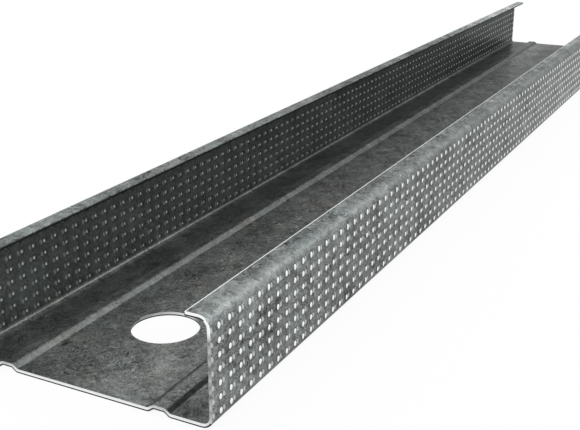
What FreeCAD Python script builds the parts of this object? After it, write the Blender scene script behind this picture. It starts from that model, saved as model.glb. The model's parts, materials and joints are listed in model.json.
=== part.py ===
import FreeCAD, Part
import math
import os

import Sketcher

# A steel wall stud: one strip of galvanised sheet, rolled into a C with lips.
# The origin is the middle of the web's underside. Y runs along the stud, and the open side is up.
# The service hole is near the end at -Y. Sizes are in millimetres.

SIZES = [
    ("stud_length", "623", "cut length of the stud"),
    ("web_width", "92", "over the outsides of the two flanges"),
    ("flange_height", "34.3", "from the web's underside to the top of the lips"),
    ("lip_width", "8.2", "from the outside of a flange to the lip's edge"),
    ("sheet_thickness", "1.3", "steel sheet with its zinc"),
    ("web_bend_inside", "1.5", "inside radius where the web turns into a flange"),
    ("lip_bend_inside", "2.6", "inside radius where a flange turns into its lip"),
    ("rib_offset", "27.9", "from the middle of the web to the middle of a rib"),
    ("rib_crown_width", "3", "flat on top of a rib"),
    ("rib_height", "1.3", "how far a rib stands into the stud"),
    ("rib_flank_angle", "35.5", "degrees between a rib's flank and the web"),
    ("rib_bend_inside", "0.8", "inside radius of the bends of a rib"),
    ("hole_diameter", "22.9", "service hole"),
    ("hole_from_end", "44.3", "from the near end to the middle of the service hole"),
]

doc = FreeCAD.newDocument("wall_stud")
sheet = doc.addObject("Spreadsheet::Sheet", "Sizes")
size = {}
for row, (alias, number, meaning) in enumerate(SIZES, start=1):
    sheet.set(f"A{row}", meaning)
    sheet.set(f"B{row}", number)
    sheet.setAlias(f"B{row}", alias)
    size[alias] = float(number)
doc.recompute()

body = doc.addObject("PartDesign::Body", "Stud")
body.Label = "wall_stud"


def origin_plane(role):
    return next(feature for feature in body.Origin.OriginFeatures if feature.Role == role)


def add_sketch(name, role):
    sketch = body.newObject("Sketcher::SketchObject", name)
    sketch.AttachmentSupport = [(origin_plane(role), "")]
    sketch.MapMode = "FlatFace"
    return sketch


def bind(sketch, name, expression, constraint_kind, *where):
    """Adds a size to a sketch and ties it to the sheet; the sketch starts at about that size."""
    index = sketch.addConstraint(Sketcher.Constraint(constraint_kind, *where))
    sketch.renameConstraint(index, name)
    sketch.setExpression(f"Constraints.{name}", expression)


# Half of the section, from the middle of the web to the edge of one lip.
# Each face of the sheet is a chain of seven straight runs joined by six bends.

thickness = size["sheet_thickness"]
half_width = size["web_width"] / 2
crown_near = size["rib_offset"] - size["rib_crown_width"] / 2
crown_far = size["rib_offset"] + size["rib_crown_width"] / 2
base_centre_z = thickness + size["rib_bend_inside"]
crown_centre_z = size["rib_height"] - size["rib_bend_inside"]

# The two bends beside a flank turn by the same angle. What they don't climb, the straight flank does.
flank_angle = math.radians(size["rib_flank_angle"])
both_radii = size["rib_bend_inside"] + (size["rib_bend_inside"] + thickness)
flank_rise = size["rib_height"] - both_radii * (1 - math.cos(flank_angle))
flank_reach = flank_rise / math.tan(flank_angle) + both_radii * math.sin(flank_angle)
rib_near = crown_near - flank_reach
rib_far = crown_far + flank_reach

RIGHT_ANGLE = math.pi / 2
DOWN = -RIGHT_ANGLE
UP = RIGHT_ANGLE
ALONG_X = 0.0

web_bend_x = half_width - thickness - size["web_bend_inside"]
web_bend_z = thickness + size["web_bend_inside"]
lip_bend_x = half_width - thickness - size["lip_bend_inside"]
lip_bend_z = size["flange_height"] - thickness - size["lip_bend_inside"]
lip_edge_x = half_width - size["lip_width"]

# Name, centre, angles from the centre where the bend starts and ends, whether its hollow side
# is the inside of the stud, and the alias of its inside radius.
BENDS = [
    ("rib_base_near", rib_near, base_centre_z, DOWN, DOWN + flank_angle, True, "rib_bend_inside"),
    ("rib_crown_near", crown_near, crown_centre_z, UP + flank_angle, UP, False, "rib_bend_inside"),
    ("rib_crown_far", crown_far, crown_centre_z, UP, UP - flank_angle, False, "rib_bend_inside"),
    ("rib_base_far", rib_far, base_centre_z, DOWN - flank_angle, DOWN, True, "rib_bend_inside"),
    ("web_bend", web_bend_x, web_bend_z, DOWN, ALONG_X, True, "web_bend_inside"),
    ("lip_bend", lip_bend_x, lip_bend_z, ALONG_X, UP, True, "lip_bend_inside"),
]
START, END, CENTRE = range(1, 4)
ORIGIN_POINT = (-1, START)


def bend_radius(hollow_inside, alias, inner_face):
    """Radius of one face of the sheet in a bend, as a number and as an expression."""
    if hollow_inside == inner_face:
        return size[alias], f"Sizes.{alias}"
    return size[alias] + thickness, f"Sizes.{alias} + Sizes.sheet_thickness"


def add_face_chain(sketch, first_point, last_point, inner_face):
    """Draws one face of the sheet and returns its runs and its bends by number."""
    bends = []
    ends = [first_point]
    for name, x, z, start_angle, end_angle, hollow_inside, alias in BENDS:
        radius, expression = bend_radius(hollow_inside, alias, inner_face)
        circle = Part.Circle(FreeCAD.Vector(x, z, 0), FreeCAD.Vector(0, 0, 1), radius)
        low, high = sorted((start_angle, end_angle))
        arc = Part.ArcOfCircle(circle, low, high)
        points = [arc.StartPoint, arc.EndPoint]
        positions = [START, END]
        if start_angle > end_angle:
            points.reverse()
            positions.reverse()
        bends.append((sketch.addGeometry(arc, False), positions))
        ends += points
        side = "inner" if inner_face else "outer"
        bind(sketch, f"{name}_{side}", expression, "Radius", bends[-1][0], radius)
    ends.append(last_point)
    runs = []
    for start, end in zip(ends[0::2], ends[1::2]):
        runs.append(sketch.addGeometry(Part.LineSegment(start, end), False))
    for place, (arc, (arc_start, arc_end)) in enumerate(bends):
        sketch.addConstraint(Sketcher.Constraint("Tangent", runs[place], END, arc, arc_start))
        sketch.addConstraint(Sketcher.Constraint("Tangent", arc, arc_end, runs[place + 1], START))
    return runs, [arc for arc, positions in bends]


section = add_sketch("HalfSection", "XZ_Plane")
inner_runs, inner_bends = add_face_chain(
    section,
    FreeCAD.Vector(0, thickness, 0),
    FreeCAD.Vector(lip_edge_x, size["flange_height"] - thickness, 0),
    True,
)
outer_runs, outer_bends = add_face_chain(
    section,
    FreeCAD.Vector(0, 0, 0),
    FreeCAD.Vector(lip_edge_x, size["flange_height"], 0),
    False,
)
middle_edge = section.addGeometry(
    Part.LineSegment(FreeCAD.Vector(0, 0, 0), FreeCAD.Vector(0, thickness, 0)), False
)
lip_edge = section.addGeometry(
    Part.LineSegment(
        FreeCAD.Vector(lip_edge_x, size["flange_height"] - thickness, 0),
        FreeCAD.Vector(lip_edge_x, size["flange_height"], 0),
    ),
    False,
)
web_run, flank_in, crown_run, flank_out, side_run, flange_run, lip_run = inner_runs

for inner_bend, outer_bend in zip(inner_bends, outer_bends):
    section.addConstraint(Sketcher.Constraint("Coincident", inner_bend, CENTRE, outer_bend, CENTRE))
section.addConstraint(Sketcher.Constraint("Coincident", outer_runs[0], START, *ORIGIN_POINT))
section.addConstraint(Sketcher.Constraint("Coincident", middle_edge, START, outer_runs[0], START))
section.addConstraint(Sketcher.Constraint("Coincident", middle_edge, END, web_run, START))
section.addConstraint(Sketcher.Constraint("Coincident", lip_edge, START, lip_run, END))
section.addConstraint(Sketcher.Constraint("Coincident", lip_edge, END, outer_runs[-1], END))
for level_run in (web_run, crown_run, side_run, lip_run, outer_runs[0], outer_runs[-1]):
    section.addConstraint(Sketcher.Constraint("Horizontal", level_run))
for upright_run in (flange_run, middle_edge, lip_edge):
    section.addConstraint(Sketcher.Constraint("Vertical", upright_run))

flank_angle_size = "Sizes.rib_flank_angle * 1 deg"
crown_near_size = "Sizes.rib_offset - Sizes.rib_crown_width / 2"
inside_size = "Sizes.web_width / 2 - Sizes.sheet_thickness"
lip_edge_size = "Sizes.web_width / 2 - Sizes.lip_width"
crown_level = "Sizes.sheet_thickness + Sizes.rib_height"
lip_level = "Sizes.flange_height - Sizes.sheet_thickness"
inside_x = half_width - thickness
lip_under_z = size["flange_height"] - thickness
crown_z = thickness + size["rib_height"]
bind(section, "flank_climb", flank_angle_size, "Angle", web_run, START, flank_in, START, flank_angle)
bind(section, "flank_fall", flank_angle_size, "Angle", flank_out, START, side_run, START, flank_angle)
bind(section, "crown_starts", crown_near_size, "DistanceX", *ORIGIN_POINT, crown_run, START, crown_near)
bind(section, "crown_flat", "Sizes.rib_crown_width", "DistanceX", crown_run, START, crown_run, END,
     size["rib_crown_width"])
bind(section, "crown_top", crown_level, "DistanceY", *ORIGIN_POINT, crown_run, START, crown_z)
bind(section, "side_level", "Sizes.sheet_thickness", "DistanceY", *ORIGIN_POINT, side_run, START, thickness)
bind(section, "flange_inside", inside_size, "DistanceX", *ORIGIN_POINT, flange_run, START, inside_x)
bind(section, "lip_under", lip_level, "DistanceY", *ORIGIN_POINT, lip_run, END, lip_under_z)
bind(section, "lip_ends", lip_edge_size, "DistanceX", *ORIGIN_POINT, lip_run, END, lip_edge_x)

# The half section is drawn out to the stud's length and mirrored across the middle of the web.
half_stud = body.newObject("PartDesign::Pad", "HalfStud")
half_stud.Profile = section
half_stud.SideType = "Symmetric"
half_stud.setExpression("Length", "Sizes.stud_length")
doc.recompute()
section.Visibility = False

whole_stud = body.newObject("PartDesign::Mirrored", "WholeStud")
whole_stud.Originals = [half_stud]
whole_stud.MirrorPlane = (origin_plane("YZ_Plane"), [""])
whole_stud.Refine = True
body.Tip = whole_stud
doc.recompute()

# The service hole is punched through the web on its centre line.
hole_y = size["hole_from_end"] - size["stud_length"] / 2
hole_sketch = add_sketch("ServiceHole", "XY_Plane")
hole_circle = Part.Circle(FreeCAD.Vector(0, hole_y, 0), FreeCAD.Vector(0, 0, 1), size["hole_diameter"] / 2)
hole_edge = hole_sketch.addGeometry(hole_circle, False)
hole_sketch.addConstraint(Sketcher.Constraint("Vertical", hole_edge, CENTRE, *ORIGIN_POINT))
bind(hole_sketch, "hole_width", "Sizes.hole_diameter", "Diameter", hole_edge, size["hole_diameter"])
bind(hole_sketch, "hole_place", "Sizes.stud_length / 2 - Sizes.hole_from_end", "DistanceY",
     hole_edge, CENTRE, *ORIGIN_POINT, -hole_y)
service_hole = body.newObject("PartDesign::Pocket", "PunchedHole")
service_hole.Profile = hole_sketch
service_hole.Type = "ThroughAll"
service_hole.Reversed = True
body.Tip = service_hole
body.Placement = FreeCAD.Placement()
doc.recompute()

for item in doc.Objects:
    if "Invalid" in item.State or "Error" in item.State:
        raise RuntimeError(f"{item.Name} did not build: {item.State}")
for sketch in (section, hole_sketch):
    if sketch.solve() != 0:
        raise RuntimeError(f"{sketch.Name} does not solve")
    if not sketch.FullyConstrained:
        raise RuntimeError(f"{sketch.Name} is not fully constrained")
if body.Shape.isNull() or not body.Shape.isValid() or len(body.Shape.Solids) != 1:
    raise RuntimeError("the stud is not one valid solid")
if service_hole.Shape.Volume >= whole_stud.Shape.Volume:
    raise RuntimeError("the service hole cuts nothing")

os.makedirs("parts", exist_ok=True)
body.Shape.exportStep(f"parts/{body.Label}.step")

bounds = body.Shape.BoundBox
print(f"{body.Label}: {bounds.XLength:.2f} x {bounds.YLength:.2f} x {bounds.ZLength:.2f} mm")
print(f"volume {body.Shape.Volume:.0f} mm3, {len(body.Shape.Faces)} faces")
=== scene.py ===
import json
import math

import bmesh
import bpy
import numpy as np
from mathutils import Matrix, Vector
from mathutils.geometry import delaunay_2d_cdt


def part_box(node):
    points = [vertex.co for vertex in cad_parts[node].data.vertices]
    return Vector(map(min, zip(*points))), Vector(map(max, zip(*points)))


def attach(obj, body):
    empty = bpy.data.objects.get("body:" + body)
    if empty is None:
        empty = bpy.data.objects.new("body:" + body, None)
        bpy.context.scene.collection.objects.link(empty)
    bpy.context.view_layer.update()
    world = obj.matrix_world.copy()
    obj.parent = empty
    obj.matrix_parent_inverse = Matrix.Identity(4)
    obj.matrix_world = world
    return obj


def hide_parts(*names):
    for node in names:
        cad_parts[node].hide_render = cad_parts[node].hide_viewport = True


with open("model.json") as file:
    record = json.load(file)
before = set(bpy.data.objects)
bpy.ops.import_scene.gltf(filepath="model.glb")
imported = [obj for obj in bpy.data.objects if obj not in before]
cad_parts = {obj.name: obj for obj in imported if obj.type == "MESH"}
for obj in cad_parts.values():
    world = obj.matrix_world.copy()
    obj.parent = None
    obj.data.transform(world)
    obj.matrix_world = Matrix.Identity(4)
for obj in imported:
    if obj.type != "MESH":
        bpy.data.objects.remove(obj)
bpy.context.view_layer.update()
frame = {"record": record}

# A steel wall stud, rolled from one strip of galvanised sheet. The strip is laid out flat with its dimples,
# cut to length and rolled up. X runs across the web, Y along the stud, and Z up out of the open side.
# Each flange is named by its side: 1 is the right one, at +X, and -1 is the left one.

MM = 0.001

# The stud's own sizes, in metres. What the frame gives is read from it.
stud_low, stud_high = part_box("wall_stud")
service_hole = next(mount for mount in frame["record"]["mounts"] if mount["name"] == "service_hole")
NEAR_END = stud_low.y
FAR_END = stud_high.y
WEB_WIDTH = stud_high.x - stud_low.x
FLANGE_HEIGHT = stud_high.z - stud_low.z
SHEET = service_hole["dims"]["length_mm"] * MM
HOLE_RADIUS = service_hole["dims"]["r_mm"] * MM
HOLE_Y = service_hole["pos_m"][1]
LIP_WIDTH = 8.2 * MM
WEB_BEND_INSIDE = 1.5 * MM
LIP_BEND_INSIDE = 2.6 * MM
RIB_OFFSET = 27.9 * MM
RIB_CROWN_WIDTH = 3.0 * MM
RIB_HEIGHT = 1.3 * MM
RIB_FLANK_ANGLE = math.radians(35.5)
RIB_BEND_INSIDE = 0.8 * MM
# The right web bend is softer than the left one: its radius is this much larger.
RIGHT_BEND_MORE = 1.1 * MM

# The dimples rolled into both flanges: an even grid, which starts at its own place on each flange.
DIMPLE_ROWS = 7
DIMPLE_PITCH_ALONG = 5.546 * MM
DIMPLE_PITCH_UP = 4.294 * MM
FIRST_COLUMN = {1: 3.99 * MM, -1: 0.74 * MM}
LOWEST_ROW = {1: 4.50 * MM, -1: 4.18 * MM}
DIMPLE_RADIUS = 1.42 * MM
DIMPLE_HEIGHT = 0.38 * MM
DIMPLE_SIDES = 12
# How far the cells of the outermost rows reach past their dimples' middles.
DIMPLE_MARGIN = 1.06 * DIMPLE_RADIUS

# A painted highlight on each dimple, as a bright spot. It is smaller inside the stud.
SPOT_LENGTH = 1.5 * MM
SPOT_TALL = 1.9 * MM
SPOT_LEAN = math.radians(7)
SPOT_SHRINK_INSIDE = 0.46
# Points of the sheet this near to a dimple's middle are points of its spot.
SPOT_REACH = 0.85 * DIMPLE_RADIUS
# The spots of the right flange grow by this share, from the middle of the stud over this run.
SPOT_GROWTH = 0.24
SPOT_GROWTH_RUN = 170 * MM

# How far the shading of the left web bend's inside eases into the flats beside it, and a little more than
# that, which takes in the lines that lie where it ends.
BEND_EASE = 1.7 * MM
BEND_EASE_LIMIT = 1.01 * BEND_EASE

# The cut edges are rounded over, and along the lower side of each cut lies a dark band: the dull band that
# shears leave, with painted shade on it.
EDGE_ROUND = 0.16 * MM
DULL_AND_SHADED_BAND = 0.36 * MM
# A strip of painted highlight along the right lip's edge, in the finish of the cuts, is this wide.
LIP_HIGHLIGHT_WIDTH = 0.32 * MM
# The lips' edges are burnished: over their rounding the shading leans away from the face by this share only.
BURNISHED_LEAN = 0.3

# Into how many steps the round shapes are cut.
EDGE_STEPS = 3
HOLE_SIDES = 96
RIB_BEND_STEPS = 3
WEB_BEND_STEPS = 6
LIP_BEND_STEPS = 7

# No strip of the mesh beside the dimples is narrower than the least strip, points closer than the weld are
# one point, and a tiny step is too small to see. Sums may be off by the rounding errors.
LEAST_STRIP = 0.1 * MM
WELD = 0.001 * MM
TINY = 0.01 * MM
ROUNDING_ERROR = 1e-12
FILL_ROUNDING_ERROR = 1e-9

# The stud's finishes, in the order of its material slots. The third is a painted highlight on the dimples,
# and the fourth a dark band along the cuts, partly painted shade.
SKIN, CUT, HIGHLIGHT, DULL_AND_SHADE = range(4)


# The path of the sheet's middle across the stud, from the middle of the web to a lip's edge.

def half_path(softer):
    """The path's pieces: name, length, turn, and what each takes of the unrolled sheet.

    A softer web bend reaches into the flats beside it. It takes as much of the sheet as the sharp bend
    and that part of the flats, so that the unrolled sheet is the same on both sides."""

    def run(name, length):
        return name, length, 0, length

    def bend(name, angle, radius, softer=0):
        return name, abs(angle) * (radius + softer), angle, abs(angle) * radius + 2 * softer

    rib_radius = RIB_BEND_INSIDE + SHEET / 2
    flank_rise = RIB_HEIGHT - 2 * rib_radius * (1 - math.cos(RIB_FLANK_ANGLE))
    flank = flank_rise / math.sin(RIB_FLANK_ANGLE)
    flank_reach = flank * math.cos(RIB_FLANK_ANGLE) + 2 * rib_radius * math.sin(RIB_FLANK_ANGLE)
    half_rib = RIB_CROWN_WIDTH / 2 + flank_reach
    web_side = WEB_WIDTH / 2 - SHEET - WEB_BEND_INSIDE - RIB_OFFSET - half_rib
    flange = FLANGE_HEIGHT - 2 * SHEET - WEB_BEND_INSIDE - LIP_BEND_INSIDE
    return [
        run("web_middle", RIB_OFFSET - half_rib),
        bend("rib_near_foot", RIB_FLANK_ANGLE, rib_radius),
        run("rib_near_flank", flank),
        bend("rib_near_brow", -RIB_FLANK_ANGLE, rib_radius),
        run("rib_crown", RIB_CROWN_WIDTH),
        bend("rib_far_brow", -RIB_FLANK_ANGLE, rib_radius),
        run("rib_far_flank", flank),
        bend("rib_far_foot", RIB_FLANK_ANGLE, rib_radius),
        run("web_side", web_side - softer),
        bend("web_bend", math.pi / 2, WEB_BEND_INSIDE + SHEET / 2, softer),
        run("flange", flange - softer),
        bend("lip_bend", math.pi / 2, LIP_BEND_INSIDE + SHEET / 2),
        run("lip", LIP_WIDTH - SHEET - LIP_BEND_INSIDE),
    ]


class Piece:
    """One straight run or one bend of the path, with where it starts and which way it heads."""

    def __init__(self, start, x, z, heading, length, turn, span):
        self.start = start
        self.end = start + span
        self.middle = start + span / 2
        self.stretch = length / span
        self.x = x
        self.z = z
        self.heading = heading
        self.length = length
        self.turn = turn

    def at(self, travel):
        """Place and heading after this travel on the unrolled sheet, for an array of travels."""
        travel = travel * self.stretch
        if self.turn == 0:
            x = self.x + travel * math.cos(self.heading)
            z = self.z + travel * math.sin(self.heading)
            return x, z, np.full_like(travel, self.heading)
        radius = self.length / self.turn
        heading = self.heading + travel / radius
        x = self.x + radius * (np.sin(heading) - math.sin(self.heading))
        z = self.z - radius * (np.cos(heading) - math.cos(self.heading))
        return x, z, heading

    def lines(self, count):
        """Where lines cut the piece into even steps."""
        return [self.start + (self.end - self.start) * step / count for step in range(count + 1)]


def lay_path(softer):
    pieces = {}
    start, x, z, heading = 0.0, 0.0, SHEET / 2, 0.0
    for name, length, turn, span in half_path(softer):
        piece = Piece(start, x, z, heading, length, turn, span)
        pieces[name] = piece
        x, z, heading = (values[0] for values in piece.at(np.array([span])))
        start = piece.end
    return pieces


PATHS = {1: lay_path(RIGHT_BEND_MORE), -1: lay_path(0)}
LEFT_PATH = PATHS[-1]
WEB_EDGE = LEFT_PATH["web_middle"].end
WEB_SIDE = LEFT_PATH["web_side"].start
WEB_BEND = LEFT_PATH["web_bend"]
LIP_BEND = LEFT_PATH["lip_bend"]
# On a flange, how far across the unrolled sheet a place is, less this, is its height.
FLANGE_FOOT = LEFT_PATH["flange"].start - LEFT_PATH["flange"].z
SHEET_EDGE = LEFT_PATH["lip"].end - EDGE_ROUND
SHEET_NEAR = NEAR_END + EDGE_ROUND
SHEET_FAR = FAR_END - EDGE_ROUND
HOLE_EDGE = HOLE_RADIUS + EDGE_ROUND


# Places on the rolled sheet, for arrays of places across the unrolled sheet and along it.

def middle_surface(across):
    """Place and heading of the sheet's middle."""
    reach = np.abs(across)
    x, z, heading = np.zeros_like(reach), np.zeros_like(reach), np.zeros_like(reach)
    for side, pieces in PATHS.items():
        for piece in pieces.values():
            here = (reach >= piece.start - ROUNDING_ERROR) & ((across > 0) == (side > 0))
            x[here], z[here], heading[here] = piece.at(reach[here] - piece.start)
    return np.sign(across) * x, z, heading


def from_dimple(across, along):
    """Steps from the middle of the nearest dimple to each point: up the flange and along it."""
    right = across > 0
    first = np.where(right, FIRST_COLUMN[1], FIRST_COLUMN[-1])
    lowest = np.where(right, LOWEST_ROW[1], LOWEST_ROW[-1])
    up = np.abs(across) - FLANGE_FOOT - lowest
    forward = along - NEAR_END - first
    row = np.clip(np.round(up / DIMPLE_PITCH_UP), 0, DIMPLE_ROWS - 1)
    column = np.round(forward / DIMPLE_PITCH_ALONG)
    return up - row * DIMPLE_PITCH_UP, forward - column * DIMPLE_PITCH_ALONG


def dimple_rise(across, along):
    """How far the sheet is pressed outwards."""
    share = np.clip(np.hypot(*from_dimple(across, along)) / DIMPLE_RADIUS, 0, 1)
    return DIMPLE_HEIGHT * (1 + np.cos(math.pi * share)) / 2


def in_sheet(across, along, depth):
    """Points of the rolled sheet: depth runs from minus half its thickness outside to plus half inside."""
    x, z, heading = middle_surface(across)
    step = depth - dimple_rise(across, along)
    mirror = np.where(across < 0, -1.0, 1.0)
    return np.stack([x - mirror * np.sin(heading) * step, along, z + np.cos(heading) * step], axis=-1)


def unit(vectors):
    return vectors / np.linalg.norm(vectors, axis=-1, keepdims=True)


def face_normals(across, along, face):
    """The normals of one face, out of the steel: face is 1 inside the stud and -1 outside."""
    small = 2 * TINY
    depth = face * SHEET / 2
    past_start = across < BEND_EASE_LIMIT - WEB_BEND.start
    eased = (face > 0) & past_start & (across > -WEB_BEND.end - small)
    wide = np.where(eased, BEND_EASE, small)
    run_across = in_sheet(across + wide, along, depth) - in_sheet(across - wide, along, depth)
    run_along = in_sheet(across, along + small, depth) - in_sheet(across, along - small, depth)
    return unit(face * np.cross(run_across, run_along))


# The sheet laid out flat.

class FlatSheet:
    """Faces laid out on the unrolled sheet, with points shared by place."""

    def __init__(self):
        self.mesh = bmesh.new()
        self.points = {}

    def point(self, across, along):
        key = (round(across / WELD), round(along / WELD))
        if key not in self.points:
            self.points[key] = self.mesh.verts.new((across, along, 0))
        return self.points[key]

    def face(self, places, finish=SKIN):
        corners = []
        for across, along in places:
            corner = self.point(across, along)
            if corner not in corners:
                corners.append(corner)
        if len(corners) > 2:
            self.mesh.faces.new(corners).material_index = finish

    def strips(self, across_lines, along_lines, finish=SKIN):
        for low, high in zip(across_lines, across_lines[1:]):
            for near, far in zip(along_lines, along_lines[1:]):
                self.face([(low, near), (high, near), (high, far), (low, far)], finish)

    def fill(self, outline, hole=()):
        """Triangles between an outline and a hole in a flat stretch of the sheet."""
        places = [Vector(place) for place in outline] + [Vector(place) for place in hole]
        border = [(place, (place + 1) % len(outline)) for place in range(len(outline))]
        first = len(outline)
        border += [(first + place, first + (place + 1) % len(hole)) for place in range(len(hole))]
        found, _, triangles, *_ = delaunay_2d_cdt(places, border, [], 0, FILL_ROUNDING_ERROR)
        for triangle in triangles:
            corners = [tuple(found[corner]) for corner in triangle]
            middle = sum((found[corner] for corner in triangle), Vector((0, 0))) / 3
            in_hole = hole and math.hypot(middle.x, middle.y - HOLE_Y) < HOLE_EDGE
            if not in_hole:
                self.face(corners)


def dimple_cell(flat, side, middle, box):
    """One dimple: a painted highlight as a bright spot in the middle, its slope, and the flat round it to
    the box.
    """
    middle_up, middle_along = middle
    low, high, near, far = box

    def at(up, along):
        return side * (middle_up + up), middle_along + along

    grown = 1 + SPOT_GROWTH * min(max(middle_along / SPOT_GROWTH_RUN, 0), 1) * (side > 0)
    spot_rim, foot = [], []
    for place in range(DIMPLE_SIDES):
        angle = 2 * math.pi * (place + 0.5) / DIMPLE_SIDES
        along = grown * SPOT_LENGTH / 2 * math.sin(angle)
        up = grown * SPOT_TALL / 2 * math.cos(angle)
        lean_along = along * math.cos(SPOT_LEAN) - up * math.sin(SPOT_LEAN)
        lean_up = along * math.sin(SPOT_LEAN) + up * math.cos(SPOT_LEAN)
        spot_rim.append(at(lean_up, lean_along))
        foot.append(at(DIMPLE_RADIUS * math.cos(angle), DIMPLE_RADIUS * math.sin(angle)))
    for place in range(DIMPLE_SIDES):
        after = (place + 1) % DIMPLE_SIDES
        flat.face([at(0, 0), spot_rim[place], spot_rim[after]], HIGHLIGHT)
        flat.face([spot_rim[place], foot[place], foot[after], spot_rim[after]])
    corners = [(side * up, along) for up, along in ((high, far), (low, far), (low, near), (high, near))]
    quarter = DIMPLE_SIDES // 4
    for turn, corner in enumerate(corners):
        first = turn * quarter
        last = first + quarter - 1
        for place in range(first, last):
            flat.face([corner, foot[place + 1], foot[place]])
        flat.face([corner, corners[(turn + 1) % 4], foot[(last + 1) % DIMPLE_SIDES], foot[last]])


def dimple_rows(side):
    """Middles of the rows, and the lines below, between and above them."""
    lowest = FLANGE_FOOT + LOWEST_ROW[side]
    rows = [lowest + row * DIMPLE_PITCH_UP for row in range(DIMPLE_ROWS)]
    between = [(low + high) / 2 for low, high in zip(rows, rows[1:])]
    return rows, [rows[0] - DIMPLE_MARGIN] + between + [rows[-1] + DIMPLE_MARGIN]


def dimple_columns(side):
    """Middles of the columns, and the lines between them. They run past both ends of the stud."""
    first = NEAR_END + FIRST_COLUMN[side] - DIMPLE_PITCH_ALONG
    count = math.ceil((FAR_END - first) / DIMPLE_PITCH_ALONG) + 1
    middles = [first + column * DIMPLE_PITCH_ALONG for column in range(count)]
    lines = [middle - DIMPLE_PITCH_ALONG / 2 for middle in middles]
    return middles, lines + [middles[-1] + DIMPLE_PITCH_ALONG / 2]


def lay_half(flat, side):
    """One half of the sheet from the web's flat middle to the lip; returns its two ends."""
    rows, row_lines = dimple_rows(side)
    columns, lines = dimple_columns(side)
    for row, low, high in zip(rows, row_lines, row_lines[1:]):
        for column, near, far in zip(columns, lines, lines[1:]):
            dimple_cell(flat, side, (row, column), (low, high, near, far))

    path = PATHS[side]
    web_bend = path["web_bend"]
    eased = [web_bend.start - BEND_EASE, web_bend.start - BEND_EASE / 2]
    below = [line for line in web_bend.lines(WEB_BEND_STEPS) if line < row_lines[0] - LEAST_STRIP]
    above = [line for line in LIP_BEND.lines(LIP_BEND_STEPS) if line > row_lines[-1] + LEAST_STRIP]
    bright = SHEET_EDGE - LIP_HIGHLIGHT_WIDTH
    flat.strips([side * line for line in eased + below + [row_lines[0]]], lines)
    flat.strips([side * line for line in [row_lines[-1]] + above + [bright]], lines)
    # The painted highlight along the right lip's edge.
    flat.strips([side * bright, side * SHEET_EDGE], lines, CUT if side > 0 else SKIN)

    # The flat run beside the web's bend passes from the columns to long plain strips.
    ends = [lines[0], lines[-1]]
    outline = [(side * WEB_SIDE, ends[0])]
    outline += [(side * eased[0], line) for line in lines]
    outline += [(side * WEB_SIDE, ends[1])]
    flat.fill(outline)
    rib_lines = [WEB_EDGE]
    for name, piece in path.items():
        if name.startswith("rib"):
            rib_lines += piece.lines(RIB_BEND_STEPS if piece.turn else 1)[1:]
    flat.strips([side * line for line in rib_lines], ends)
    return ends


def unrolled_sheet():
    """The whole sheet laid flat: both halves, and the flat middle of the web round its hole."""
    flat = FlatSheet()
    right_ends = lay_half(flat, 1)
    left_ends = lay_half(flat, -1)
    outline = [(WEB_EDGE, right_ends[0]), (WEB_EDGE, right_ends[1])]
    outline += [(-WEB_EDGE, left_ends[1]), (-WEB_EDGE, left_ends[0])]
    hole = []
    for step in range(HOLE_SIDES):
        angle = 2 * math.pi * step / HOLE_SIDES
        hole.append((HOLE_EDGE * math.cos(angle), HOLE_Y + HOLE_EDGE * math.sin(angle)))
    flat.fill(outline, hole)
    return flat.mesh


def cut_to_length(mesh):
    for end, direction in ((SHEET_NEAR, -1), (SHEET_FAR, 1)):
        bmesh.ops.bisect_plane(
            mesh,
            geom=mesh.verts[:] + mesh.edges[:] + mesh.faces[:],
            dist=WELD,
            plane_co=(0, end, 0),
            plane_no=(0, direction, 0),
            clear_outer=True,
        )


def read_flat(mesh):
    """Points, faces with their finishes, and the border's edges of the flat sheet, all one way round."""
    mesh.verts.index_update()
    places = np.array([(vert.co.x, vert.co.y) for vert in mesh.verts])
    cells, finishes, border = [], [], set()
    for face in mesh.faces:
        corners = [vert.index for vert in face.verts]
        x, y = places[corners].T
        if np.dot(x, np.roll(y, -1)) < np.dot(y, np.roll(x, -1)):
            corners.reverse()
        cells.append(corners)
        finishes.append(face.material_index)
        for edge in zip(corners, corners[1:] + corners[:1]):
            if edge[::-1] in border:
                border.remove(edge[::-1])
            else:
                border.add(edge)
    return places, cells, finishes, sorted(border)


# The sheet rolled up, with its cut edges.

def outward(places):
    """The way out of the sheet in its own plane at points of its border, and which kind of edge it is."""
    across, along = places.T
    on_lip = np.abs(across) > SHEET_EDGE - TINY
    on_end = (along < SHEET_NEAR + TINY) | (along > SHEET_FAR - TINY)
    way = np.zeros_like(places)
    way[:, 0] = np.where(on_lip, np.sign(across), 0)
    way[:, 1] = np.where(on_end, np.sign(along), 0)
    in_hole = ~on_lip & ~on_end
    way[in_hole] = unit(np.array([0, HOLE_Y]) - places[in_hole])
    return way, on_lip, on_end


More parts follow.
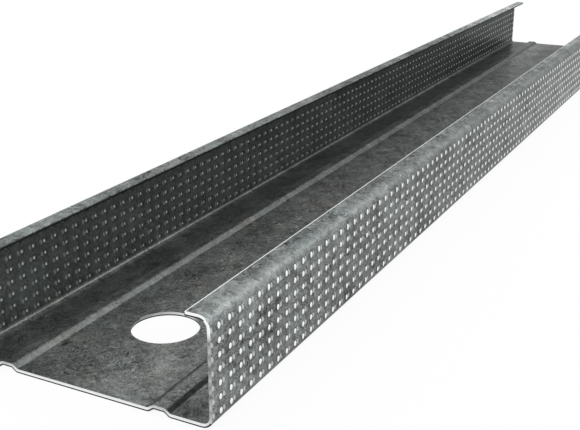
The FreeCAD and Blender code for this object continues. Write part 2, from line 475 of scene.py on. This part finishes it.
def edge_finishes(lip_edge, end_cut, across, way):
    """Finishes of the bands round a cut edge, from the inner face: rounding, band, cut, band, rounding."""
    # On the lips' slit edges the dark band, partly painted shade, lies below, and the right lip's upper
    # rounding carries the painted highlight.
    if lip_edge:
        return [DULL_AND_SHADE] * (EDGE_STEPS + 2) + [SKIN] + [CUT if across > 0 else SKIN] * EDGE_STEPS
    if not end_cut:
        # The way out of the sheet is the way into the hole. Where it faces the far end, on the hole's near
        # half, the upper rounding takes painted shade.
        faces_far_end = way[1] > -0.1
        return [DULL_AND_SHADE if faces_far_end else CUT] * EDGE_STEPS + [CUT] * 2 + [DULL_AND_SHADE] * (EDGE_STEPS + 1)
    # On the end cuts the dark band, partly painted shade, lies along the lower side: the outer face of the
    # web, and the inner face of the lips.
    if abs(across) < WEB_BEND.middle:
        return [CUT] * (EDGE_STEPS + 2) + [DULL_AND_SHADE] * (EDGE_STEPS + 1)
    if abs(across) > LIP_BEND.middle:
        return [DULL_AND_SHADE] * (EDGE_STEPS + 1) + [CUT] * (EDGE_STEPS + 2)
    return [SKIN] * EDGE_STEPS + [CUT] * 3 + [SKIN] * EDGE_STEPS


def inner_places(places):
    """The same points as seen inside the stud, where the painted highlights are smaller."""
    up, forward = from_dimple(*places.T)
    on_end = (places[:, 1] < SHEET_NEAR + TINY) | (places[:, 1] > SHEET_FAR - TINY)
    in_spot = (np.hypot(up, forward) < SPOT_REACH) & ~on_end
    shrink = np.where(in_spot, SPOT_SHRINK_INSIDE, 0)
    moved = places.copy()
    moved[:, 0] -= np.sign(places[:, 0]) * up * shrink
    moved[:, 1] -= forward * shrink
    return moved


def edge_profile():
    """Depth and lean of the rings from one face to the other: rounding, dull band, cut and rounding."""
    leans = [math.pi / 2 * (turn + 1) / EDGE_STEPS for turn in range(EDGE_STEPS)]
    profile = [(SHEET / 2 - EDGE_ROUND * (1 - math.cos(lean)), lean) for lean in leans]
    profile.append((SHEET / 2 - EDGE_ROUND - DULL_AND_SHADED_BAND, math.pi / 2))
    return profile + [(-depth, lean) for depth, lean in reversed(profile)]


def roll_stud(name):
    """Rolls the flat sheet into the stud: both faces with their true normals, and rounded cut edges."""
    flat = unrolled_sheet()
    cut_to_length(flat)
    places, cells, finishes, border = read_flat(flat)
    flat.free()
    count = len(places)
    inside = inner_places(places)
    points = [in_sheet(*inside.T, SHEET / 2), in_sheet(*places.T, -SHEET / 2)]
    normals = [face_normals(*inside.T, 1), face_normals(*places.T, -1)]
    faces = cells + [[corner + count for corner in reversed(corners)] for corners in cells]
    finishes = finishes * 2

    rim = sorted({corner for edge in border for corner in edge})
    rim_place = {corner: place for place, corner in enumerate(rim)}
    rim_flat = places[rim]
    way, on_lip, on_end = outward(rim_flat)
    step = way * 2 * TINY
    out = unit(in_sheet(*(rim_flat + step).T, 0) - in_sheet(*(rim_flat - step).T, 0))
    profile = edge_profile()
    for depth, lean in profile:
        moved = rim_flat + way * EDGE_ROUND * math.sin(lean)
        points.append(in_sheet(*moved.T, depth))
        skin = face_normals(*rim_flat.T, math.copysign(1, depth))
        upright = lean > 0.95 * math.pi / 2
        leans = np.where(on_lip & (not upright), lean * BURNISHED_LEAN, lean)[:, None]
        normals.append(unit(skin * np.cos(leans) + out * np.sin(leans)))

    def ring(layer, corner):
        """A point of the border on the inner face, on one of the profile's rings, or on the outer face."""
        if layer == 0:
            return corner
        if layer > len(profile):
            return corner + count
        return 2 * count + (layer - 1) * len(rim) + rim_place[corner]

    for start, end in border:
        ends = [rim_place[start], rim_place[end]]
        across = rim_flat[ends[0]][0]
        bands = edge_finishes(on_lip[ends].all(), on_end[ends].all(), across, way[ends[0]])
        for layer, finish in enumerate(bands):
            upper = [ring(layer, end), ring(layer, start)]
            lower = [ring(layer + 1, start), ring(layer + 1, end)]
            faces.append(upper + lower)
            finishes.append(finish)

    mesh = bpy.data.meshes.new(name)
    mesh.from_pydata(np.concatenate(points).tolist(), [], faces)
    mesh.polygons.foreach_set("material_index", finishes)
    mesh.polygons.foreach_set("use_smooth", [True] * len(faces))
    mesh.normals_split_custom_set_from_vertices(np.concatenate(normals).tolist())
    stud = bpy.data.objects.new(name, mesh)
    bpy.context.scene.collection.objects.link(stud)
    return stud


# The shader maths, with places in millimetres.

class Value:
    """An output of a material's nodes that takes part in sums."""

    def __init__(self, graph, socket):
        self.graph = graph
        self.socket = socket

    def maths(self, operation, *values, **settings):
        return self.graph.node("ShaderNodeMath", {"operation": operation, **settings}, values)

    def __add__(self, other):
        return self.maths("ADD", self, other)

    def __sub__(self, other):
        return self.maths("SUBTRACT", self, other)

    def __rsub__(self, other):
        return self.maths("SUBTRACT", other, self)

    def __mul__(self, other):
        return self.maths("MULTIPLY", self, other)

    def __truediv__(self, other):
        return self.maths("DIVIDE", self, other)

    def __pow__(self, other):
        return self.maths("POWER", self, other)

    def __abs__(self):
        return self.maths("ABSOLUTE", self)

    def __gt__(self, other):
        return self.maths("GREATER_THAN", self, other)

    def __lt__(self, other):
        return self.maths("LESS_THAN", self, other)

    __radd__ = __add__
    __rmul__ = __mul__

    def clamped(self):
        return self.maths("ADD", self, 0, use_clamp=True)

    def least(self, other):
        return self.maths("MINIMUM", self, other)

    def most(self, other):
        return self.maths("MAXIMUM", self, other)

    def rounded(self):
        return self.maths("ROUND", self)

    def wave(self):
        return self.maths("SINE", self)


class Graph:
    """The nodes of one material."""

    def __init__(self, name):
        self.material = bpy.data.materials.new(name)
        self.material.use_nodes = True
        self.tree = self.material.node_tree
        self.tree.nodes.clear()

    def node(self, kind, settings=None, inputs=None, output=0):
        """One node: its settings, then values or links for its inputs; several outputs by their names."""
        node = self.tree.nodes.new(kind)
        for key, setting in (settings or {}).items():
            setattr(node, key, setting)
        pairs = inputs.items() if isinstance(inputs, dict) else enumerate(inputs or ())
        for place, value in pairs:
            socket = node.inputs[place]
            if isinstance(value, Value):
                self.tree.links.new(value.socket, socket)
            else:
                socket.default_value = value
        if isinstance(output, tuple):
            return [Value(self, node.outputs[name]) for name in output]
        return Value(self, node.outputs[output]) if node.outputs else None

    def place(self):
        """Where a point of the stud is, in millimetres: across, along and up."""
        return self.scaled(self.node("ShaderNodeTexCoord", output="Object"), 1 / MM)

    def parts(self, vector, names):
        return self.node("ShaderNodeSeparateXYZ", {}, [vector], names)

    def scaled(self, vector, scale):
        """A place or a colour times one number."""
        return self.node("ShaderNodeVectorMath", {"operation": "SCALE"}, {"Vector": vector, "Scale": scale})

    def moved(self, place, step):
        return self.node("ShaderNodeVectorMath", {"operation": "ADD"}, [place, step])

    def stretched(self, place, factors):
        return self.node("ShaderNodeVectorMath", {"operation": "MULTIPLY"}, [place, factors])

    def noise(self, place, scale, detail, roughness=0.5, distortion=0.0, output="Fac"):
        return self.node(
            "ShaderNodeTexNoise",
            {"noise_dimensions": "3D", "noise_type": "FBM", "normalize": True},
            {
                "Vector": place,
                "Scale": scale,
                "Detail": detail,
                "Roughness": roughness,
                "Distortion": distortion,
            },
            output,
        )

    def cells(self, place, scale):
        """Angular cells, each with a colour of its own."""
        return self.node(
            "ShaderNodeTexVoronoi",
            {"voronoi_dimensions": "3D", "feature": "F1"},
            {"Vector": place, "Scale": scale, "Randomness": 1.0},
            "Color",
        )

    def mix(self, share, first, second):
        """Two colours mixed by a share."""
        return self.node(
            "ShaderNodeMix", {"data_type": "RGBA"}, {0: share, 6: first, 7: second}, output=2
        )

    def finish(self, shader):
        self.node("ShaderNodeOutputMaterial", {}, {"Surface": shader})
        return self.material


def rises(value, start, run):
    """0 up to the start, 1 past the run, and even between them."""
    return ((value - start) / run).clamped()


def falls(value, start, run):
    """1 up to the start, 0 past the run, and even between them."""
    return (1 - (value - start) / run).clamped()


def swing(noise, size):
    """A noise that swings both ways round 0."""
    return (noise - 0.5) * size


def hairlines(noise, thinness):
    """Thin winding lines, where a noise passes its middle level."""
    return (1 - abs(noise - 0.5) * thinness).clamped()


def metal(graph, colour, roughness, normal=None):
    inputs = {
        "Base Color": colour,
        "Metallic": 1.0,
        "Roughness": roughness,
        "Specular Tint": (0.5, 0.5, 0.5, 1),
    }
    if normal:
        inputs["Normal"] = normal
    return graph.finish(graph.node("ShaderNodeBsdfPrincipled", {}, inputs))


# The galvanised finish. Its lengths are in millimetres, as its places are, but for the height of its grain.

# The pattern swings round the middle level, and the steel level is what 1 stands for.
MIDDLE_LEVEL = 0.96
STEEL_LEVEL = 0.22
DARKEST_LEVEL = 0.035
STEEL_COOL = (0.955, 1.015, 1.0, 1)
STEEL_WARM = (1.01, 1.005, 0.935, 1)
STEEL_COLD = (0.91, 1.02, 1.0, 1)
# The colour of the painted second highlight beside each dimple.
SECOND_HIGHLIGHT_COLOUR = (0.66, 0.67, 0.67, 1)
GRAIN_STRENGTH = 0.3
GRAIN_HEIGHT = 0.06 * MM

# How far the crystals' outlines wander, and how the streaks and the scratches are drawn out.
CRYSTAL_DRIFT = 6.0
FULL_TURN = 6.28
STREAK_DRAW = (0.2, 1.0, 1.0)
SCRATCH_DRAW = (1.4, 0.025, 1.4)
CURL_WINDING = 75
VEIN_THINNESS = 16
SCRATCH_THINNESS = 26

# The inner face of a flange, from the middle of the web, and the upper face of the web.
FLANGE_FACE = (WEB_WIDTH / 2 - SHEET) / MM
WEB_FACE = SHEET / MM

# Painted beside each dimple: a faint second highlight, and a ring of painted shade round it.
SECOND_HIGHLIGHT_STEP = 1.88
SECOND_HIGHLIGHT_LENGTH = 0.7
SECOND_HIGHLIGHT_TALL = 1.0
SECOND_HIGHLIGHT_LEAN = 0.25
SHADE_RING_REACH = 1.15
SHADE_RING_WIDTH = 0.45


def dimple_highlights_and_shade(graph, place):
    """The faint painted highlight beside each dimple, and the painted shade in a ring round it, from 0 to 1.
    """
    across, along, up = graph.parts(place, ("X", "Y", "Z"))
    right = across > 0
    on_flange = abs(across) > WEB_WIDTH / MM / 2 - 3

    def by_side(sizes):
        return right * (sizes[1] - sizes[-1]) / MM + sizes[-1] / MM

    def off(value, start, pitch, rows=None):
        """How far a place is from the nearest one of a row that starts there."""
        steps = ((value - start) / pitch).rounded()
        if rows:
            steps = steps.most(0).least(rows - 1)
        return value - start - steps * pitch

    first = by_side(FIRST_COLUMN) + NEAR_END / MM
    up_off = off(up, by_side(LOWEST_ROW), DIMPLE_PITCH_UP / MM, DIMPLE_ROWS)
    ring_along = off(along, first, DIMPLE_PITCH_ALONG / MM)
    shade_ring_reach = (up_off * up_off + ring_along * ring_along) ** 0.5
    ring = (1 - abs(shade_ring_reach - SHADE_RING_REACH) / SHADE_RING_WIDTH).clamped() * on_flange

    second = first + (right * 2 - 1) * SECOND_HIGHLIGHT_STEP
    spot_along = off(along, second, DIMPLE_PITCH_ALONG / MM) + up_off * SECOND_HIGHLIGHT_LEAN
    spot_reach = (spot_along / SECOND_HIGHLIGHT_LENGTH) ** 2 + (up_off / SECOND_HIGHLIGHT_TALL) ** 2
    spot = ((1 - spot_reach) * 2).clamped() * on_flange
    return spot, ring


class Zinc:
    """The pattern of the zinc: what it is made of, each from 0 to 1. Only the curls swing round 0."""

    def __init__(self, graph, place):
        drift = graph.noise(place, scale=0.16, detail=1.5, roughness=0.45, output="Color")
        bent = graph.moved(place, graph.scaled(drift, CRYSTAL_DRIFT))

        # Each crystal is streaked its own way.
        crystal = graph.cells(bent, 0.2)
        turned = graph.node(
            "ShaderNodeVectorRotate",
            {"rotation_type": "EULER_XYZ"},
            {"Vector": bent, "Rotation": graph.scaled(crystal, FULL_TURN)},
        )
        drawn_out = graph.stretched(turned, STREAK_DRAW)
        self.streaks = graph.noise(drawn_out, scale=1.15, detail=1.5, distortion=1.0)
        self.crystal = graph.parts(crystal, "Y")

        # Wide patches differ in level, in how much they curl and in how warm they are.
        self.patch, self.patch_curl = graph.parts(graph.cells(bent, 0.075), ("X", "Z"))
        self.clouds = graph.noise(place, scale=0.07, detail=4, roughness=0.6, distortion=0.8)
        self.hue = graph.noise(place, scale=0.05, detail=3)

        self.feather = graph.noise(bent, scale=0.3, detail=5, roughness=0.6, distortion=1.0)
        self.speckle = graph.noise(place, scale=1.3, detail=3, roughness=0.7)
        flow = graph.noise(bent, scale=0.26, detail=2, distortion=0.6)
        self.curls = (flow * CURL_WINDING).wave() * (rises(self.feather, 0.4, 0.25) + 0.3)
        winding = graph.noise(bent, scale=0.34, detail=2, distortion=1.4)
        self.veins = hairlines(winding, VEIN_THINNESS) * rises(self.clouds, 0.42, 0.2)
        drawn = graph.noise(graph.stretched(place, SCRATCH_DRAW), scale=1.0, detail=2, roughness=0.6)
        self.scratches = hairlines(drawn, SCRATCH_THINNESS) * rises(self.feather, 0.42, 1 / 6)


class Zones:
    """Stretches of the stud, as shares from 0 to 1."""

    def __init__(self, graph, place):
        across, along, up = graph.parts(place, ("X", "Y", "Z"))
        tilt = graph.parts(graph.node("ShaderNodeNewGeometry", output="Normal"), "X")
        leftward = 0 - across
        self.left = across < 0

        # By height: the lips with their bends, and the web with the foot of each flange.
        self.lips = rises(up, 30, 2.5)
        self.low_down = falls(up, 2, 3)
        self.inside = falls(abs(across), FLANGE_FACE + 0.1, 1 / 3)

        # Along the stud.
        self.near_end = falls(along, NEAR_END / MM + 2.5, 200)
        self.by_hole = rises(self.near_end, 0.2, 1 / 3)
        self.past_middle = rises(along, 90, 130)

        # The flanges and the right lip's bend, which take painted light and shade.
        self.right_lip_bend = self.lips * rises(across, 41.5, 1.5)
        self.left_wall = rises(leftward, 43.5, 1) * self.inside * (1 - self.lips)
        self.far_right = rises(along, -150, 335) * rises(across, 10, 12) * (1 - self.right_lip_bend * 0.8)

        # The web: strips of painted shade beside the flanges, and a strip of painted light inside the left
        # rib.
        left_strip = rises(leftward, 31, 2) * (0.3 - rises(along, 0, 100) * 0.2)
        right_strip = rises(across, 18, 16) * 0.4
        self.painted_shade_strips = (left_strip + right_strip) * self.low_down * self.inside
        self.painted_light_strip = (across > -24) * falls(across, -0.8, 1.6) * self.low_down
        self.past_left_rib = rises(across, -24, 21)

        # The ribs' slopes, by the way that they face, for painted light and shade.
        on_ribs = self.low_down * (abs(across) < 40)
        self.slopes = rises(abs(tilt), 0.2, 0.25) * on_ribs
        self.left_slopes = rises(0 - tilt, 0.2, 1 / 3) * on_ribs
        self.right_slopes = rises(tilt, 0.2, 1 / 3) * on_ribs

        # The inside of the web bends, where painted light and shade go: how far a point is from the middle
        # of the bend, over its face.
        from_bend = abs(FLANGE_FACE - abs(across) - (up - WEB_FACE) * 1.3)
        self.bend_sides = falls(from_bend, 1.4, 1.3) * self.inside
        self.bend_middle = falls(from_bend, 0, 0.9) * self.inside


def zinc_level(zinc, zones, ring):
    """How light the zinc is: its pattern, painted shade round each dimple, and then painted light and shade
    over stretches of the stud.
    """
    grit = swing(zinc.speckle, 0.5) + zinc.curls * (zinc.patch_curl * 0.42 + 0.2)
    pattern = swing(zinc.clouds, 0.9) + swing(zinc.crystal, 0.3) + swing(zinc.patch, 0.22)
    pattern = pattern + swing(zinc.streaks, 2.3) + swing(zinc.feather, 1.2)
    pattern = pattern + grit * (1 - zones.lips * 0.5)
    pattern = pattern + zinc.veins * 0.3 + zinc.scratches * zones.low_down * 0.3
    calmer = zones.right_lip_bend * 0.6 + zones.left_wall * 0.4 + zones.far_right * (1 - zones.inside) * 0.45
    level = pattern * (1 - zones.slopes * 0.5) * (1 + zones.lips * 0.3 - calmer) + MIDDLE_LEVEL

    # Painted shade in a ring round each dimple.
    level = level * (1 - ring * 0.3)
    # Painted light on the lips, most on the left lip past the middle, a painted highlight on the right lip's
    # bend by the near end, painted light over the far right, painted shade on the inside of the left flange,
    # and strips of painted shade and painted light on the web.
    level = level * (1 + zones.lips * 0.15) * (1 + zones.lips * zones.left * zones.past_middle * 1.1)
    level = level * (1 + zones.right_lip_bend * zones.near_end * 0.27)
    level = level * (1 + zones.far_right * (0.74 - zones.lips * 0.18))
    level = level * (1 - zones.left_wall * (zones.past_middle * 0.45 + 0.08))
    level = level * (1 - zones.painted_shade_strips)
    level = level * (1 + zones.painted_light_strip * (zones.near_end * 0.2 - zones.past_left_rib * 0.44 + 0.28))

    # Painted light along the sides of the inside of the web bends, and painted shade in their middle, both
    # strongest by the near end.
    painted_bend_light = zones.bend_sides * (zones.by_hole * 0.78 + 0.12)
    bend_shade = zones.bend_middle * (zones.near_end * 0.6 + zones.by_hole * 0.35 + 0.5)
    level = level * (1 + painted_bend_light - bend_shade)
    # Painted light on the ribs' slopes that face left, and painted shade on the slopes of the left rib that
    # face right.
    painted_slope_light = zones.left_slopes * (zones.near_end * 0.4 + 0.88)
    painted_slope_shade = zones.right_slopes * zones.left * (0.37 - zones.near_end * 0.1)
    level = level * (1 + painted_slope_light - painted_slope_shade)
    return (level * STEEL_LEVEL).most(DARKEST_LEVEL)


def galvanised():
    """Dark zinc with spangle: cloudy patches, streaked crystals, fine speckle and thin pale veins, with
    painted light and shade over parts of the stud and painted highlights beside the dimples.
    """
    graph = Graph("galvanised_steel")
    place = graph.place()
    zinc = Zinc(graph, place)
    zones = Zones(graph, place)
    spot, ring = dimple_highlights_and_shade(graph, place)

    warm = rises(zinc.hue, 0.44, 0.2) * (zinc.patch_curl * 0.5 + 0.3) * zones.low_down
    cold = rises(zinc.hue, 0.5, 1 / 6) * zones.lips
    tint = graph.mix(cold, graph.mix(warm, STEEL_COOL, STEEL_WARM), STEEL_COLD)
    colour = graph.scaled(tint, zinc_level(zinc, zones, ring))
    # The painted second highlight beside each dimple, fainter on the inside of the left flange.
    colour = graph.mix(spot * (0.8 - zones.left_wall * 0.2), colour, SECOND_HIGHLIGHT_COLOUR)

    roughness = swing(zinc.streaks, 0.25) + swing(zinc.speckle, 0.12) + zones.lips * 0.12 + 0.36
    height = zinc.streaks * 0.6 + zinc.feather * 0.3 + zinc.speckle * 0.3
    grain = {"Strength": GRAIN_STRENGTH, "Distance": GRAIN_HEIGHT, "Height": height}
    normal = graph.node("ShaderNodeBump", {}, grain)
    return metal(graph, colour, roughness, normal)


# The other finishes.

CUT_COLOUR = (0.985, 1.0, 1.005)
# The colour of the dark band along the cuts, partly painted shade.
DULL_AND_SHADE_COLOUR = (0.97, 1.0, 1.0)
# The colour of the painted highlight on the dimples.
HIGHLIGHT_COLOUR = (0.985, 1.0, 1.0)


def cut_steel():
    """The bright metal of the sheared ends and slit edges, duller on the flanges' ends, with painted shade
    in the hole and on faces turned sideways. It also makes the painted highlight along the right lip's edge.
    """
    graph = Graph("cut_edge")
    place = graph.place()
    along, up = graph.parts(place, ("Y", "Z"))
    sideways = graph.parts(graph.node("ShaderNodeNewGeometry", output="Normal"), "X")
    tearing = graph.noise(place, scale=1.2, detail=4, roughness=0.6)
    blotches = graph.noise(place, scale=0.35, detail=3, roughness=0.6)

    on_flange = falls(abs(up - 15), 11.5, 3)
    low_down = up < 3
    in_hole = low_down * (abs(along) < FAR_END / MM - 3.5)
    flange_shade = on_flange * (0.64 - swing(blotches, 1.2))
    # Painted shade in the hole, most where it faces +X, and on every cut face turned sideways.
    hole_shade = in_hole * ((sideways * 0.4).clamped() + swing(blotches, 0.5) + 0.18)
    painted_sideways_shade = rises(0 - sideways, 0.25, 1 / 2.4) * 0.8 + rises(sideways, 0.8, 1 / 3) * 0.6
    level = (swing(tearing, 0.3) + 1).least(1)
    level = level * (1 - flange_shade) * (1 - hole_shade) * (1 - painted_sideways_shade)
    return metal(graph, graph.scaled(CUT_COLOUR, level), swing(tearing, 0.2) + 0.32)


def dull_and_shaded_edge():
    """The dark line along the cuts: the dull band that shears leave on their lower side, with painted shade
    on it and on the near half of the hole's rim.
    """
    graph = Graph("dull_and_shaded_edge")
    mottle = graph.noise(graph.place(), scale=1.1, detail=4, roughness=0.6)
    return metal(graph, graph.scaled(DULL_AND_SHADE_COLOUR, swing(mottle, 0.06) + 0.05), swing(mottle, 0.2) + 0.5)


def painted_highlight():
    """A painted highlight: the bright spot on each dimple."""
    graph = Graph("painted_highlight")
    unevenness = graph.noise(graph.place(), scale=0.9, detail=3, roughness=0.6)
    level = (swing(unevenness, 0.25) + 1.02).least(1)
    return metal(graph, graph.scaled(HIGHLIGHT_COLOUR, level), swing(unevenness, 0.1) + 0.55)


stud = roll_stud("wall_stud_steel")
for finish in (galvanised(), cut_steel(), painted_highlight(), dull_and_shaded_edge()):
    stud.data.materials.append(finish)
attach(stud, "root")
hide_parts("wall_stud")


# The floor, the light and the camera.

FLOOR_REACH = 6.0
FLOOR_GAP = 0.02 * MM
FLOOR_COLOUR = (0.95, 0.95, 0.95, 1)
WHITE = (1, 1, 1, 1)
# How much of the floor's look, to the camera and in mirrors, is plain white. The rest shows the shadow.
FLOOR_WHITE = 0.93

SOFTBOX_PLACE = (0.70, 0.94, 1.03)
SOFTBOX_AIM = (0.05, -0.28, 0.03)
SOFTBOX_WIDTH = 0.45
SOFTBOX_HEIGHT = 0.8
SOFTBOX_WATTS = 2.6

# The camera stands where the stud lines up with the photograph. Its turns are in degrees.
CAMERA_PLACE = (173.43 * MM, -510.24 * MM, 148.70 * MM)
CAMERA_TURN = (71.385, 0.019, 27.478)
LENS = 61.444
SENSOR_WIDTH = 36
SHIFT = (-0.0028, -0.0430)


def add_floor():
    mesh = bpy.data.meshes.new("floor")
    reach = FLOOR_REACH
    corners = [(-reach, -reach, 0), (reach, -reach, 0), (reach, reach, 0), (-reach, reach, 0)]
    mesh.from_pydata(corners, [], [(0, 1, 2, 3)])
    floor = bpy.data.objects.new("floor", mesh)
    floor.location.z = stud_low.z - FLOOR_GAP
    bpy.context.scene.collection.objects.link(floor)
    graph = Graph("pale_floor")
    seen, mirrored, through = graph.node(
        "ShaderNodeLightPath", output=("Is Camera Ray", "Is Glossy Ray", "Is Transmission Ray")
    )
    lit = graph.node("ShaderNodeBsdfDiffuse", {}, {"Color": FLOOR_COLOUR})
    white = graph.node("ShaderNodeEmission", {}, {"Color": WHITE, "Strength": 1.0})
    share = (seen + mirrored + through) * FLOOR_WHITE
    shader = graph.node("ShaderNodeMixShader", {}, {0: share, 1: lit, 2: white})
    mesh.materials.append(graph.finish(shader))


def add_world():
    world = bpy.data.worlds.new("studio")
    bpy.context.scene.world = world
    world.use_nodes = True
    tree = world.node_tree
    tree.nodes.clear()
    background = tree.nodes.new("ShaderNodeBackground")
    background.inputs["Color"].default_value = WHITE
    background.inputs["Strength"].default_value = 1.0
    output = tree.nodes.new("ShaderNodeOutputWorld")
    tree.links.new(background.outputs[0], output.inputs["Surface"])


def add_softbox():
    """A soft box that the stud mirrors, and that no camera sees."""
    light = bpy.data.lights.new("soft_box", "AREA")
    light.shape = "RECTANGLE"
    light.size = SOFTBOX_WIDTH
    light.size_y = SOFTBOX_HEIGHT
    light.energy = SOFTBOX_WATTS
    lamp = bpy.data.objects.new("soft_box", light)
    lamp.location = SOFTBOX_PLACE
    aim = Vector(SOFTBOX_AIM) - Vector(SOFTBOX_PLACE)
    lamp.rotation_euler = aim.to_track_quat("-Z", "Y").to_euler()
    lamp.visible_camera = False
    bpy.context.scene.collection.objects.link(lamp)


def add_camera():
    data = bpy.data.cameras.new("camera")
    data.sensor_fit = "HORIZONTAL"
    data.sensor_width = SENSOR_WIDTH
    data.lens = LENS
    data.shift_x, data.shift_y = SHIFT
    data.clip_start = 0.01
    data.clip_end = 50
    camera = bpy.data.objects.new("camera", data)
    camera.location = CAMERA_PLACE
    camera.rotation_euler = [math.radians(angle) for angle in CAMERA_TURN]
    bpy.context.scene.collection.objects.link(camera)
    bpy.context.scene.camera = camera


add_floor()
add_world()
add_softbox()
add_camera()
bpy.context.scene.view_settings.view_transform = "Standard"
